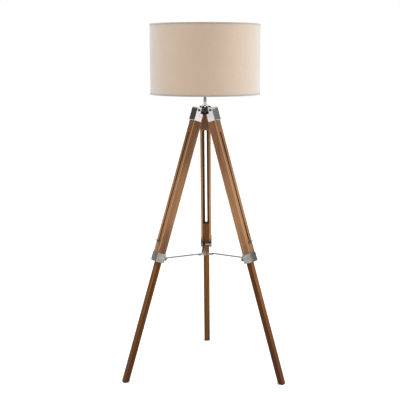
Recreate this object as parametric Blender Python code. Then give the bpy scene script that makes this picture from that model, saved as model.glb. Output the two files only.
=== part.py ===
"""Tripod floor lamp: three telescopic oak legs folding under a steel head, a strap spreader, an E27 holder and a drum
shade on a spider. Metres, +Z up, feet on Z = 0."""

import math

import bmesh
import bpy
from mathutils import Matrix, Vector

# Whole lamp
LEG_AZIMUTHS = {"1": 90.0, "2": 210.0, "3": 330.0}  # degrees round the lamp axis
TILT = math.radians(17.4)  # of each leg from vertical
PIVOT_R = 0.0397  # leg pivots from the lamp axis
PIVOT_Z = 1.1047
GAP = 0.0003  # between neighbouring pieces

# Upper leg: along the leg (T) from the pivot, width across, depth outwards
UPPER_W, UPPER_D = 0.044, 0.0355
BACK = -0.0105 - UPPER_D / 2  # inner and outer face, from the line down the leg through its pivot
FRONT = BACK + UPPER_D
UPPER_TOP_T, UPPER_END_T = 0.0135, 0.6395
EDGE = 0.0012  # eased wood edges
GROOVE_W, GROOVE_D, GROOVE_TOP_T = 0.0266, 0.0245, 0.081
SLOT_W, SLOT_TOP_T, SLOT_END_T = 0.0092, 0.094, 0.5685

# Lower leg
LOWER_W, LOWER_D = 0.026, 0.022
LOWER_TOP_T = 0.526
LOWER_OUT = BACK + GROOVE_D - 0.0004  # outer face
PAD_H, PAD_INSET = 0.004, 0.0008

# Cap at the top of each leg
SHEET = 0.0015
CAP_END_T, CAP_TOP_T, CAP_BEND_T = 0.0445, -0.0118, -0.0080
CAP_IN, CAP_TAB_IN, CAP_TAB_T = -0.0222, -0.0093, 0.0120  # inner edges of the side plates and of their tabs
CAP_TOP_OUT = 0.0065
CAP_SCREW_O, CAP_SCREW_T = -0.0105, 0.0236
CAP_SCREW_R, CAP_SCREW_HEAD_R, CAP_SCREW_HEAD_H, CAP_SCREW_CROWN = 0.002, 0.0036, 0.0018, 0.0012
PIVOT_BOLT_R, PIVOT_HEAD_R, PIVOT_HEAD_H, PIVOT_CROWN = 0.003, 0.0054, 0.0042, 0.0016
CLEAR = 0.0003  # radial, round every bolt

# Clamp: wing bolt with its washer
WING_T, WING_SPAN, WING_THICK = 0.556, 0.031, 0.0026
WING_SHAFT_R, WING_BOSS_R, WING_BOSS_H, WASHER_R = 0.003, 0.0055, 0.0062, 0.0098
WING_SHAFT_IN = -0.0185  # inner end of the shaft

# Collar at the lower end of the upper leg, with the strap bolt in its lugs
COLLAR_T, COLLAR_H = 0.6213, 0.037
LUG_S, LUG_REACH, LUG_H = 0.0150, 0.0155, 0.017
PIN_O = BACK - 0.009
PIN_R, PIN_END, PIN_NUT_R, PIN_NUT_CROWN = 0.0025, 0.0256, 0.0045, 0.0034
COLLAR_WEB = 0.0008  # left of the back flange behind its outer face, above and below the lugs
SLEEVE_R = 0.0045

# Spreader
STRAP_SIDE, STRAP_W, STRAP_THICK = 0.0045, 0.010, 0.0032
EYE_R = 0.0047
STRAP_HUB_R = 0.030  # strap pivots from the lamp axis at the hub
HUB_CORE_R, HUB_CORE_H, EAR_THICK, EAR_TIP_R, EAR_H = 0.0039, 0.016, 0.0024, 0.0034, 0.0078
RIVET_HEAD_R, RIVET_HEAD_H = 0.0040, 0.0012

# Head
HEAD_CORE_R, HEAD_LOW, HEAD_HIGH = 0.016, 0.0128, 0.0085  # low and high from the pivots
LUG_TIP_R = 0.0064
TUBE_R, TUBE_WALL, TUBE_HIGH_Z = 0.0058, 0.0012, 1.184
NUT_R, NUT_Z, NUT_H = 0.0135, 1.1136, 0.0126
GLAND_R, GLAND_H, GLAND_FLANGE_R = 0.0088, 0.0078, 0.0108  # set into the underside of the casting

# Lampholder and bulb
HOLDER_Z, HOLDER_FLOOR_Z, HOLDER_TOP_Z = 1.172, 1.188, 1.225
HOLDER_FOOT_R, HOLDER_CONE_H = 0.0135, 0.009
INSERT_H, CONTACT_R, CONTACT_H = 0.006, 0.0028, 0.0018
HOLDER_R, HOLDER_BORE_R, FLANGE_R, FLANGE_Z, FLANGE_H = 0.019, 0.017, 0.024, 1.1905, 0.003
BULB_Z, BULB_SHOULDER_Z = 1.2198, 1.242
BULB_R, BULB_NECK_R, BULB_CAP_R, BULB_WALL = 0.030, 0.0135, 0.0131, 0.001
BULB_CENTRE_Z = 1.297

# Shade
SHADE_R, SHADE_Z, SHADE_TOP_Z = 0.225, 1.1663, 1.4488
TRIM, TRIM_H = 0.0005, 0.006
SKIN_OUT, SKIN_THICK = 0.0008, 0.001  # outer face inside SHADE_R; fabric on its liner
WIRE_R, WIRE_RING_R, WIRE_SET = 0.002, 0.2196, 0.001  # set in from the folded tape
FITTER_R, FITTER_THICK = 0.027, 0.0022
SHADE_RING_R, SHADE_RING_H = 0.0245, 0.0082

ROUND_LARGE, ROUND_SMALL = 48, 16


def foot_reach():
    """Farthest reach of a foot pad from the lamp axis."""
    out = LOWER_OUT - PAD_INSET
    along = (PIVOT_Z + out * math.sin(TILT)) / math.cos(TILT)
    return PIVOT_R + along * math.sin(TILT) + out * math.cos(TILT)


AXIS_Y = (SHADE_R - foot_reach()) / 2  # centres the whole lamp on the origin


def clear_scene():
    for old in list(bpy.data.objects):
        bpy.data.objects.remove(old, do_unlink=True)


def material(name, colour, metallic, roughness, transmission=0.0):
    made = bpy.data.materials.new(name)
    made.use_nodes = True
    shader = made.node_tree.nodes["Principled BSDF"]
    shader.inputs["Base Color"].default_value = (*colour, 1.0)
    shader.inputs["Metallic"].default_value = metallic
    shader.inputs["Roughness"].default_value = roughness
    shader.inputs["Transmission Weight"].default_value = transmission
    made.diffuse_color = (*colour, 1.0)
    return made


LOOKS = {
    "oak": ((0.26, 0.135, 0.065), 0.0, 0.45),
    "dark_oak": ((0.17, 0.085, 0.04), 0.0, 0.45),
    "chrome": ((0.80, 0.80, 0.80), 1.0, 0.12),
    "satin_steel": ((0.62, 0.61, 0.60), 1.0, 0.32),
    "black_steel": ((0.05, 0.05, 0.05), 1.0, 0.35),
    "rubber": ((0.03, 0.03, 0.03), 0.0, 0.8),
    "phenolic": ((0.02, 0.02, 0.02), 0.0, 0.4),
    "ceramic": ((0.8, 0.78, 0.74), 0.0, 0.3),
    "brass": ((0.75, 0.55, 0.25), 1.0, 0.25),
    "opal_glass": ((0.95, 0.93, 0.88), 0.0, 0.2, 0.4),
    "white_wire": ((0.8, 0.8, 0.8), 0.0, 0.4),
    "fabric": ((0.75, 0.66, 0.58), 0.0, 0.9),
    "trim_tape": ((0.68, 0.60, 0.53), 0.0, 0.9),
}


def empty(name, parent, place):
    made = bpy.data.objects.new(name, None)
    bpy.context.scene.collection.objects.link(made)
    made.parent = parent
    made.matrix_basis = place
    return made


def solid(name, shape, look, parent, at=(0.0, 0.0, 0.0)):
    """A mesh object from a bmesh given in the parent's frame, with its origin at `at`."""
    bmesh.ops.translate(shape, verts=shape.verts, vec=-Vector(at))
    bmesh.ops.recalc_face_normals(shape, faces=shape.faces)
    mesh = bpy.data.meshes.new(name)
    shape.to_mesh(mesh)
    shape.free()
    made = bpy.data.objects.new(name, mesh)
    bpy.context.scene.collection.objects.link(made)
    made.parent = parent
    made.location = at
    if look:
        mesh.materials.append(material(name + "_" + look, *LOOKS[look]))
        mesh.shade_smooth()
        mesh.set_sharp_from_angle(angle=math.radians(30))
    return made


def combine(target, shape, operation, at=(0.0, 0.0, 0.0)):
    """Boolean with a hidden helper, given in the same frame as the target."""
    helper = solid(target.name + "_tool", shape, None, target.parent, at)
    helper.hide_render = True
    helper.display_type = "WIRE"
    step = target.modifiers.new("step", "BOOLEAN")
    step.operation = operation
    step.solver = "EXACT"
    step.object = helper


def loft(rings):
    """A closed mesh through equally long rings of points, capped at both ends."""
    shape = bmesh.new()
    made = [[shape.verts.new(point) for point in ring] for ring in rings]
    for low, high in zip(made, made[1:]):
        for i in range(len(low)):
            j = (i + 1) % len(low)
            shape.faces.new((low[i], low[j], high[j], high[i]))
    shape.faces.new(made[0][::-1])
    shape.faces.new(made[-1])
    return shape


def along_x(outline, low, high):
    """(y, z) outline extruded along X."""
    return loft([[(x, a, b) for a, b in outline] for x in (low, high)])


def along_y(outline, low, high):
    """(x, z) outline extruded along Y."""
    return loft([[(a, y, b) for a, b in outline] for y in (low, high)])


def along_z(outline, low, high):
    """(x, y) outline extruded along Z."""
    return loft([[(a, b, z) for a, b in outline] for z in (low, high)])


def box(low, high):
    (x0, y0, z0), (x1, y1, z1) = low, high
    return along_z([(x0, y0), (x1, y0), (x1, y1), (x0, y1)], z0, z1)


def arc(centre, radius, start, end, steps):
    """Points on a circle from start to end, in degrees."""
    turns = [math.radians(start + (end - start) * i / steps) for i in range(steps + 1)]
    return [(centre[0] + radius * math.cos(a), centre[1] + radius * math.sin(a)) for a in turns]


def circle(centre, radius, steps=ROUND_SMALL):
    return arc(centre, radius, 0, 360, steps)[:-1]


def turned(profile, steps, centre=(0.0, 0.0), axis="Z"):
    """A closed (radius, height) profile turned about an axis through `centre` in the plane across it."""
    shape = bmesh.new()
    turns = [2 * math.pi * i / steps for i in range(steps)]

    def place(radius, height, angle):
        a = centre[0] + radius * math.cos(angle)
        b = centre[1] + radius * math.sin(angle)
        return {"X": (height, a, b), "Y": (a, height, b), "Z": (a, b, height)}[axis]

    rings = []
    for radius, height in profile:
        count = 1 if radius < 1e-9 else steps
        rings.append([shape.verts.new(place(radius, height, angle)) for angle in turns[:count]])
    for one, two in zip(rings, rings[1:] + rings[:1]):
        for i in range(steps):
            corners = [one[i % len(one)], one[(i + 1) % len(one)], two[(i + 1) % len(two)], two[i % len(two)]]
            corners = [c for n, c in enumerate(corners) if c not in corners[:n]]
            if len(corners) > 2:
                shape.faces.new(corners)
    return shape


def eased(width, low, high, edge):
    """A rectangle centred in x from y = low to high with chamfered corners."""
    half = width / 2
    return [
        (-half + edge, low),
        (half - edge, low),
        (half, low + edge),
        (half, high - edge),
        (half - edge, high),
        (-half + edge, high),
        (-half, high - edge),
        (-half, low + edge),
    ]


def fastener(shaft_r, inner, head_r, head_h, crown):
    """Profile of a bolt through two plates `inner` from the middle, with a domed end on each side."""
    head = [
        (shaft_r, inner),
        (head_r, inner),
        (head_r, inner + head_h - crown),
        (head_r * 0.86, inner + head_h - crown * 0.4),
        (head_r * 0.5, inner + head_h),
        (0.0, inner + head_h),
    ]
    return head + [(r, -h) for r, h in reversed(head)]


def along_leg(out, height):
    """Distance along the leg at which a line `out` from its middle is `height` above the floor."""
    return (PIVOT_Z - height + out * math.sin(TILT)) / math.cos(TILT)


def build_upper_leg(n, leg):
    outline = eased(UPPER_W, BACK, FRONT, EDGE)
    wood = solid(f"leg_{n}_upper", along_z(outline, UPPER_TOP_T, UPPER_END_T), "oak", leg)
    beyond = 0.02
    arch = GROOVE_W / 2
    groove = arc((0.0, GROOVE_TOP_T + arch), arch, 180, 360, 12)
    groove += [(arch, UPPER_END_T + beyond), (-arch, UPPER_END_T + beyond)]
    combine(wood, along_y(groove, BACK - beyond, BACK + GROOVE_D), "DIFFERENCE")
    round_end = SLOT_W / 2
    slot = arc((0.0, SLOT_TOP_T + round_end), round_end, 180, 360, 8)
    slot += arc((0.0, SLOT_END_T - round_end), round_end, 0, 180, 8)
    combine(wood, along_y(slot, BACK + GROOVE_D / 2, FRONT + beyond), "DIFFERENCE")
    hole = circle((CAP_SCREW_O, CAP_SCREW_T), CAP_SCREW_R + CLEAR)
    combine(wood, along_x(hole, -UPPER_W, UPPER_W), "DIFFERENCE")


def build_cap(n, leg):
    """A folded sheet over the outside and both sides of the leg, its sides rising to a tab round the pivot bolt."""
    half_w = UPPER_W / 2 + GAP
    face = FRONT + GAP + SHEET
    outline = [
        (CAP_IN, CAP_END_T),
        (CAP_IN, CAP_TAB_T),
        (CAP_TAB_IN, CAP_TAB_T),
        (CAP_TAB_IN, CAP_TOP_T),
        (CAP_TOP_OUT, CAP_TOP_T),
        (face, CAP_BEND_T),
        (face, CAP_END_T),
    ]
    cap = solid(f"leg_{n}_cap", along_x(outline, -half_w - SHEET, half_w + SHEET), "chrome", leg)
    slope = Vector((face - CAP_TOP_OUT, CAP_BEND_T - CAP_TOP_T)).normalized()
    inward = Vector((-slope.y, slope.x)) * SHEET
    bend = Vector((face, CAP_BEND_T)) + inward
    bend += slope * ((face - SHEET - bend.x) / slope.x)
    beyond = 0.03
    top = bend - slope * beyond
    left = CAP_IN - beyond
    inside = [(left, CAP_END_T + beyond), (left, top.y), tuple(top), tuple(bend), (bend.x, CAP_END_T + beyond)]
    combine(cap, along_x(inside, -half_w, half_w), "DIFFERENCE")
    for centre, radius in (((0.0, 0.0), PIVOT_BOLT_R), ((CAP_SCREW_O, CAP_SCREW_T), CAP_SCREW_R)):
        hole = circle(centre, radius + CLEAR)
        combine(cap, along_x(hole, -2 * UPPER_W, 2 * UPPER_W), "DIFFERENCE")
    outside = half_w + SHEET + GAP
    bolt = fastener(PIVOT_BOLT_R, outside, PIVOT_HEAD_R, PIVOT_HEAD_H, PIVOT_CROWN)
    solid(f"leg_{n}_pivot_bolt", turned(bolt, ROUND_SMALL, axis="X"), "black_steel", leg)
    screw = fastener(CAP_SCREW_R, outside, CAP_SCREW_HEAD_R, CAP_SCREW_HEAD_H, CAP_SCREW_CROWN)
    at = (CAP_SCREW_O, CAP_SCREW_T)
    solid(f"leg_{n}_cap_screw", turned(screw, 12, at, "X"), "chrome", leg)


def build_lower_leg(n, leg):
    """The lower leg and its foot pad, both cut level with the floor."""
    low = LOWER_OUT - LOWER_D
    foot = empty(f"leg_{n}_slide", leg, Matrix.Translation((0.0, 0.0, LOWER_TOP_T)))
    outline = eased(LOWER_W, low, LOWER_OUT, EDGE)
    drop = LOWER_TOP_T
    top = [(s, o, 0.0) for s, o in outline]
    end = [(s, o, along_leg(o, PAD_H + GAP) - drop) for s, o in outline]
    wood = solid(f"leg_{n}_lower", loft([top, end]), "dark_oak", foot)
    bore = circle((0.0, WING_T - drop), WING_SHAFT_R + CLEAR)
    combine(wood, along_y(bore, WING_SHAFT_IN - 2 * GAP, UPPER_D), "DIFFERENCE")
    sole = eased(LOWER_W - 2 * PAD_INSET, low + PAD_INSET, LOWER_OUT - PAD_INSET, EDGE)
    rings = [[(s, o, along_leg(o, height) - drop) for s, o in sole] for height in (PAD_H, 0.0)]
    solid(f"leg_{n}_foot_pad", loft(rings), "rubber", foot)
    return foot


def build_clamp(n, foot):
    """Wing bolt through the slot, turning on its own axis, and the washer it presses on the upper leg."""
    at = (0.0, 0.0, WING_T - LOWER_TOP_T)
    face = FRONT + GAP
    washer = [
        (WING_SHAFT_R + CLEAR, face),
        (WASHER_R, face),
        (WASHER_R, face + SHEET),
        (WING_SHAFT_R + CLEAR, face + SHEET),
    ]
    solid(f"leg_{n}_clamp_washer", turned(washer, ROUND_SMALL, (0.0, at[2]), "Y"), "satin_steel", foot, at)
    low = face + SHEET + GAP
    boss = low + WING_BOSS_H
    profile = [
        (0.0, WING_SHAFT_IN),
        (WING_SHAFT_R, WING_SHAFT_IN),
        (WING_SHAFT_R, low),
        (WING_BOSS_R + 0.001, low),
        (WING_BOSS_R, boss),
        (0.0, boss + 0.001),
    ]
    bolt = solid(f"leg_{n}_wing_bolt", turned(profile, ROUND_SMALL, (0.0, at[2]), "Y"), "black_steel", foot, at)
    tip = WING_SPAN / 2
    right = [
        (0.0030, low + 0.0012),
        (0.0075, low + 0.0022),
        (tip - 0.0030, low + 0.0052),
        (tip - 0.0005, low + 0.0072),
        (tip, low + 0.0096),
        (tip - 0.0018, low + 0.0110),
        (tip - 0.0046, low + 0.0102),
        (0.0068, low + 0.0066),
        (0.0030, low + 0.0056),
    ]
    wings = right + [(-s, o) for s, o in reversed(right)]
    thick = WING_THICK / 2
    combine(bolt, along_z(wings, at[2] - thick, at[2] + thick), "UNION", at)


def build_collar(n, leg):
    half_w = UPPER_W / 2 + GAP
    back = BACK - GAP
    front = FRONT + GAP
    lug_end = back - LUG_REACH
    half = [
        (LUG_S, lug_end),
        (LUG_S + SHEET, lug_end),
        (LUG_S + SHEET, back - SHEET),
        (half_w + SHEET, back - SHEET),
        (half_w + SHEET, front + SHEET),
    ]
    inner = [(LUG_S, back), (half_w, back), (half_w, front)]
    outline = half + [(-s, o) for s, o in reversed(half)]
    outline += [(-s, o) for s, o in inner] + list(reversed(inner))
    low = COLLAR_T - COLLAR_H / 2
    high = COLLAR_T + COLLAR_H / 2
    collar = solid(f"leg_{n}_collar", along_z(outline, low, high), "satin_steel", leg)
    side = 2 * UPPER_W
    for a, b in ((low - side, COLLAR_T - LUG_H / 2), (COLLAR_T + LUG_H / 2, high + side)):
        spare = box((-side, lug_end - SHEET, a), (side, back - SHEET - COLLAR_WEB, b))
        combine(collar, spare, "DIFFERENCE")
    hole = circle((PIN_O, COLLAR_T), PIN_R + CLEAR)
    combine(collar, along_x(hole, -side, side), "DIFFERENCE")
    at = (PIN_O, COLLAR_T)
    start = LUG_S + SHEET + GAP
    bolt = fastener(PIN_R, start, PIN_NUT_R, PIN_END - start, PIN_NUT_CROWN)
    solid(f"leg_{n}_strap_bolt", turned(bolt, 12, at, "X"), "satin_steel", leg, (0.0, *at))
    sleeve = [
        (PIN_R + CLEAR, GAP - LUG_S),
        (SLEEVE_R, GAP - LUG_S),
        (SLEEVE_R, STRAP_SIDE - GAP),
        (PIN_R + CLEAR, STRAP_SIDE - GAP),
    ]
    solid(f"leg_{n}_strap_sleeve", turned(sleeve, ROUND_SMALL, at, "X"), "satin_steel", leg, (0.0, *at))


def build_strap(n, upright):
    """A flat strap from the collar's bolt to the spreader hub, level, with both ends rolled down into eyes."""
    pin_r = PIVOT_R + COLLAR_T * math.sin(TILT) + PIN_O * math.cos(TILT)
    pin_z = PIVOT_Z - COLLAR_T * math.cos(TILT) + PIN_O * math.sin(TILT)
    bar = EYE_R - STRAP_THICK
    meet = math.degrees(math.asin(bar / EYE_R))
    outline = arc((pin_r, pin_z), EYE_R, 180 - meet, 450, 12)
    outline += arc((STRAP_HUB_R, pin_z), EYE_R, 90, 360 + meet, 12)
    strap = along_x(outline, -STRAP_SIDE - STRAP_W, -STRAP_SIDE)
    at = (0.0, pin_r, pin_z)
    made = solid(f"leg_{n}_strap", strap, "satin_steel", upright, at)
    for end in (pin_r, STRAP_HUB_R):
        bore = circle((end, pin_z), PIN_R + CLEAR)
        combine(made, along_x(bore, -STRAP_SIDE - 2 * STRAP_W, 0.0), "DIFFERENCE", at)
    head = -STRAP_SIDE - STRAP_W - GAP
    rivet = [
        (0.0, GAP / 2 - STRAP_SIDE),
        (PIN_R, GAP / 2 - STRAP_SIDE),
        (PIN_R, head),
        (RIVET_HEAD_R, head),
        (RIVET_HEAD_R * 0.8, head - RIVET_HEAD_H * 0.7),
        (RIVET_HEAD_R * 0.4, head - RIVET_HEAD_H),
        (0.0, head - RIVET_HEAD_H),
    ]
    solid(f"leg_{n}_strap_rivet", turned(rivet, 12, (STRAP_HUB_R, pin_z), "X"), "satin_steel", upright, at)


def build_spreader_hub(lamp, uprights):
    """A post on the lamp axis with one ear beside the end of each strap."""
    pin_z = PIVOT_Z - COLLAR_T * math.cos(TILT) + PIN_O * math.sin(TILT)
    edge = 0.0008
    low = pin_z - HUB_CORE_H / 2
    high = pin_z + HUB_CORE_H / 2
    post = [
        (0.0, low),
        (HUB_CORE_R - edge, low),
        (HUB_CORE_R, low + edge),
        (HUB_CORE_R, high - edge),
        (HUB_CORE_R - edge, high),
        (0.0, high),
    ]
    hub = solid("spreader_hub", turned(post, ROUND_SMALL), "satin_steel", lamp)
    half = EAR_H / 2
    tip = STRAP_HUB_R + EAR_TIP_R - half
    ear = [(0.0, pin_z - half)] + arc((tip, pin_z), half, -90, 90, 12) + [(0.0, pin_z + half)]
    for upright in uprights:
        helper = along_x(ear, GAP - STRAP_SIDE, GAP - STRAP_SIDE + EAR_THICK)
        helper.transform(upright.matrix_basis)
        combine(hub, helper, "UNION")


def build_head(lamp, uprights):
    """The casting the legs hang from, and the stem screwed into it."""
    low = PIVOT_Z - HEAD_LOW
    high = PIVOT_Z + HEAD_HIGH
    edge = 0.0015
    core = [
        (0.0, low),
        (HEAD_CORE_R - edge, low),
        (HEAD_CORE_R, low + edge),
        (HEAD_CORE_R, high - edge),
        (HEAD_CORE_R - edge, high),
        (0.0, high),
    ]
    head = solid("head_hub", turned(core, 24), "black_steel", lamp)
    half_w = UPPER_W / 2 - 2 * GAP
    corner = half_w / math.sin(math.radians(60))
    rings = []
    for step in range(13):
        lean = math.radians(-90 + 15 * step)
        reach = PIVOT_R + LUG_TIP_R * math.cos(lean)
        plan = [(-half_w, reach), (half_w, reach), (corner * math.sin(math.pi / 3), corner / 2)]
        ring = [Vector((*point, PIVOT_Z + LUG_TIP_R * math.sin(lean))) for point in plan]
        rings.append([upright.matrix_basis @ point for upright in uprights[::-1] for point in ring])
    combine(head, loft(rings), "UNION")
    for upright in uprights:
        helper = along_x(circle((PIVOT_R, PIVOT_Z), PIVOT_BOLT_R + CLEAR), -UPPER_W, UPPER_W)
        helper.transform(upright.matrix_basis)
        combine(head, helper, "DIFFERENCE")
    seat = low + GLAND_H + GAP
    bore = [
        (0.0, low - edge),
        (GLAND_R + GAP, low - edge),
        (GLAND_R + GAP, seat),
        (TUBE_R + GAP, seat),
        (TUBE_R + GAP, high + edge),
        (0.0, high + edge),
    ]
    combine(head, turned(bore, 24), "DIFFERENCE")
    tube_low = seat + GAP
    tube = [
        (TUBE_R - TUBE_WALL, tube_low),
        (TUBE_R, tube_low),
        (TUBE_R, TUBE_HIGH_Z),
        (TUBE_R - TUBE_WALL, TUBE_HIGH_Z),
    ]
    solid("stem_tube", turned(tube, 24), "chrome", lamp)
    nut_high = NUT_Z + NUT_H
    nut = [
        (TUBE_R + GAP, NUT_Z),
        (NUT_R - edge, NUT_Z),
        (NUT_R, NUT_Z + edge),
        (NUT_R, nut_high - edge),
        (NUT_R - edge, nut_high),
        (TUBE_R + GAP, nut_high),
    ]
    solid("stem_nut", turned(nut, 24), "chrome", lamp)
    flange = low - GAP
    gland = [
        (TUBE_R - TUBE_WALL, flange - 0.0012),
        (GLAND_FLANGE_R - 0.0004, flange - 0.0012),
        (GLAND_FLANGE_R, flange - 0.0008),
        (GLAND_FLANGE_R, flange),
        (GLAND_R, flange),
        (GLAND_R, low + GLAND_H),
        (TUBE_R - TUBE_WALL, low + GLAND_H),
    ]
    solid("cable_gland", turned(gland, 24), "rubber", lamp)


def build_lampholder(lamp):
    shell = [
        (TUBE_R + GAP, HOLDER_Z),
        (HOLDER_FOOT_R, HOLDER_Z),
        (HOLDER_R, HOLDER_Z + HOLDER_CONE_H),
        (HOLDER_R, FLANGE_Z),
        (FLANGE_R, FLANGE_Z),
        (FLANGE_R, FLANGE_Z + FLANGE_H),
        (HOLDER_R, FLANGE_Z + FLANGE_H),
        (HOLDER_R, HOLDER_TOP_Z),
        (HOLDER_BORE_R, HOLDER_TOP_Z),
        (HOLDER_BORE_R, HOLDER_FLOOR_Z),
        (TUBE_R + GAP, HOLDER_FLOOR_Z),
    ]
    solid("lampholder_shell", turned(shell, 24), "phenolic", lamp)
    insert_r = HOLDER_BORE_R - GAP
    insert_z = HOLDER_FLOOR_Z + GAP
    contact_z = insert_z + INSERT_H + CONTACT_H
    insert = [
        (0.0, insert_z),
        (insert_r, insert_z),
        (insert_r, insert_z + INSERT_H),
        (CONTACT_R, insert_z + INSERT_H),
        (CONTACT_R, contact_z),
        (0.0, contact_z),
    ]
    solid("lampholder_insert", turned(insert, 24), "ceramic", lamp)
    ring_z = FLANGE_Z + FLANGE_H + FITTER_THICK + 2 * GAP
    ring = [
        (HOLDER_R + GAP, ring_z),
        (SHADE_RING_R, ring_z),
        (SHADE_RING_R, ring_z + SHADE_RING_H - 0.001),
        (SHADE_RING_R - 0.001, ring_z + SHADE_RING_H),
        (HOLDER_R + GAP, ring_z + SHADE_RING_H),
    ]
    solid("shade_ring", turned(ring, 24), "phenolic", lamp)
    low = contact_z + GAP
    high = BULB_Z - GAP
    base = [
        (0.0, low),
        (0.0040, low),
        (0.0045, low + 0.0015),
        (0.0095, low + 0.0030),
        (BULB_CAP_R, low + 0.0050),
        (BULB_CAP_R, high),
        (0.0, high),
    ]
    solid("bulb_base", turned(base, 24), "brass", lamp)


def build_bulb(lamp):
    """The glass envelope, open at its neck, which the base closes."""
    flare = math.degrees(math.acos((BULB_NECK_R + 0.0015) / BULB_R))
    outer = [(BULB_NECK_R, BULB_Z), (BULB_NECK_R + 0.0002, BULB_SHOULDER_Z)]
    outer += arc((0.0, BULB_CENTRE_Z), BULB_R, -flare, 90, 8)
    outer[-1] = (0.0, outer[-1][1])
    inside = BULB_R - BULB_WALL
    inner = arc((0.0, BULB_CENTRE_Z), inside, 90, -flare, 8)
    inner[0] = (0.0, inner[0][1])
    inner += [(BULB_NECK_R - BULB_WALL, BULB_SHOULDER_Z), (BULB_NECK_R - BULB_WALL, BULB_Z)]
    solid("bulb_glass", turned(outer + inner, 24), "opal_glass", lamp)


def build_shade(lamp, uprights):
    """Spider, wire rings, the fabric drum and the tape folded over its edges."""
    fitter_z = FLANGE_Z + FLANGE_H + GAP
    fitter = [
        (HOLDER_R + GAP, fitter_z),
        (FITTER_R, fitter_z),
        (FITTER_R, fitter_z + FITTER_THICK),
        (HOLDER_R + GAP, fitter_z + FITTER_THICK),
    ]
    spider = solid("shade_spider", turned(fitter, 24), "white_wire", lamp)
    low_z = SHADE_Z + TRIM + GAP + WIRE_R + WIRE_SET
    wire = arc((WIRE_RING_R, low_z), WIRE_R, 0, 360, 6)[:-1]
    combine(spider, turned(wire, ROUND_LARGE), "UNION")
    start = Vector((0.0, FITTER_R - 0.0012, fitter_z + FITTER_THICK / 2))
    end = Vector((0.0, WIRE_RING_R, low_z))
    across = Vector((1.0, 0.0, 0.0))
    up = across.cross(end - start).normalized()
    for upright in uprights:
        rings = [
            [point + across * a + up * b for a, b in circle((0.0, 0.0), WIRE_R * 0.95, 12)]
            for point in (start, end)
        ]
        arm = loft(rings)
        arm.transform(upright.matrix_basis)
        combine(spider, arm, "UNION")
    high_z = SHADE_TOP_Z - TRIM - GAP - WIRE_R - WIRE_SET
    wire = arc((WIRE_RING_R, high_z), WIRE_R, 0, 360, 6)[:-1]
    solid("shade_top_ring", turned(wire, ROUND_LARGE), "white_wire", lamp)
    skin_r = SHADE_R - SKIN_OUT
    skin = [
        (skin_r - SKIN_THICK, SHADE_Z + TRIM + GAP),
        (skin_r, SHADE_Z + TRIM + GAP),
        (skin_r, SHADE_TOP_Z - TRIM - GAP),
        (skin_r - SKIN_THICK, SHADE_TOP_Z - TRIM - GAP),
    ]
    solid("shade_skin", turned(skin, ROUND_LARGE), "fabric", lamp)
    inner_r = skin_r - SKIN_THICK - GAP
    for name, edge_z, turn in (("shade_trim_bottom", SHADE_Z, 1), ("shade_trim_top", SHADE_TOP_Z, -1)):
        tape = [
            (inner_r - TRIM, edge_z),
            (SHADE_R, edge_z),
            (SHADE_R, edge_z + turn * TRIM_H),
            (SHADE_R - TRIM, edge_z + turn * TRIM_H),
            (SHADE_R - TRIM, edge_z + turn * TRIM),
            (inner_r, edge_z + turn * TRIM),
            (inner_r, edge_z + turn * TRIM_H),
            (inner_r - TRIM, edge_z + turn * TRIM_H),
        ]
        solid(name, turned(tape, ROUND_LARGE), "trim_tape", lamp)


def main():
    clear_scene()
    lamp = empty("lamp_axis", None, Matrix.Translation((0.0, AXIS_Y, 0.0)))
    uprights = []
    for n, azimuth in LEG_AZIMUTHS.items():
        turn = math.radians(azimuth)
        # X across the leg, Y outwards, Z up
        facing = Matrix.Rotation(turn - math.pi / 2, 4, "Z")
        upright = empty(f"leg_{n}_side", lamp, facing)
        uprights.append(upright)
        # X across the leg, Y outwards, Z down along the leg
        outwards = Vector((0.0, math.cos(TILT), math.sin(TILT)))
        down = Vector((0.0, math.sin(TILT), -math.cos(TILT)))
        axes = Matrix((Vector((-1.0, 0.0, 0.0)), outwards, down)).transposed().to_4x4()
        leg = empty(f"leg_{n}_pivot", upright, Matrix.Translation((0.0, PIVOT_R, PIVOT_Z)) @ axes)
        build_upper_leg(n, leg)
        build_cap(n, leg)
        foot = build_lower_leg(n, leg)
        build_clamp(n, foot)
        build_collar(n, leg)
        build_strap(n, upright)
    build_spreader_hub(lamp, uprights)
    build_head(lamp, uprights)
    build_lampholder(lamp)
    build_bulb(lamp)
    build_shade(lamp, uprights)


main()
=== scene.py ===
import math

import bmesh
import bpy
from mathutils import Matrix, Vector

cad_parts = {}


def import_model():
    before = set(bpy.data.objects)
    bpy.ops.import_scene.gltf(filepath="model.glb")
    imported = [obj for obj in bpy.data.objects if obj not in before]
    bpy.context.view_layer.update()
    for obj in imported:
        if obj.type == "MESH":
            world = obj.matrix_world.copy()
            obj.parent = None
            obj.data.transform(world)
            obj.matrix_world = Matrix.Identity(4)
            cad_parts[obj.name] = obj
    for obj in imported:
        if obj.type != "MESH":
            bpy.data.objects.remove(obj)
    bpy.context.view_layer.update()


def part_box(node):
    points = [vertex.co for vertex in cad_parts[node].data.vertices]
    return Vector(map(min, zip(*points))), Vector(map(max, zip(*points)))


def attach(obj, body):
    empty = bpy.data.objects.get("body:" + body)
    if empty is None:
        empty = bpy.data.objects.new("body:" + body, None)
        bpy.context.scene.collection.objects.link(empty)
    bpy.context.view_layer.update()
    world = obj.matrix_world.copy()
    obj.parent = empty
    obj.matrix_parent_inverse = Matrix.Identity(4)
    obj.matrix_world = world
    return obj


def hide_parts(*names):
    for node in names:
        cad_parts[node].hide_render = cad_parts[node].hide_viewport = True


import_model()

# ---------------------------------------------------------------- sizes, as in the CAD
TILT = math.radians(17.4)
PIVOT_R, PIVOT_Z = 0.0397, 1.1047
LEGS = {"1": 90.0, "2": 210.0, "3": 330.0}
GAP = 0.0003
UPPER_W, UPPER_D = 0.044, 0.0355
BACK = -0.0105 - UPPER_D / 2
FRONT = BACK + UPPER_D
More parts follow.
